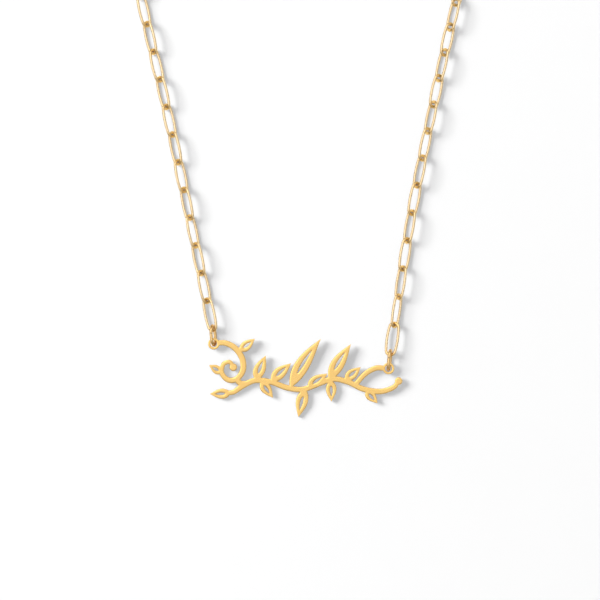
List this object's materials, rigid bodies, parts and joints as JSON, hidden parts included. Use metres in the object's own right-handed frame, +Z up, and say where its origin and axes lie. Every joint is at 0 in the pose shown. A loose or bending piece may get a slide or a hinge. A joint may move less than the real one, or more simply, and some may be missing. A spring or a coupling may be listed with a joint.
{
  "type": "nameplate necklace",
  "caption": "Necklace with a pierced ornamental nameplate hung by its two ends from an oval cable chain that closes with a spring ring clasp.",
  "frame": {"origin": "middle of the necklace's outline, on the surface that it lies on", "axes": "+X to the wearer's left as the plate is read from the front, +Y from the nameplate to the clasp, +Z up out of the plate's face"},
  "size_m": [0.0877, 0.1922, 0.0029],
  "materials": {
    "plate_gold": "polished, very fine brushing",
    "chain_gold": "polished"
  },
  "bodies": {
    "root": {"nameplate": "plate_gold", "ring_left": "chain_gold", "ring_right": "chain_gold", "chain_left": "chain_gold", "chain_right": "chain_gold", "ring_back_left": "chain_gold", "clasp": "chain_gold", "ring_back_right": "chain_gold"}
  },
  "joints": []
}
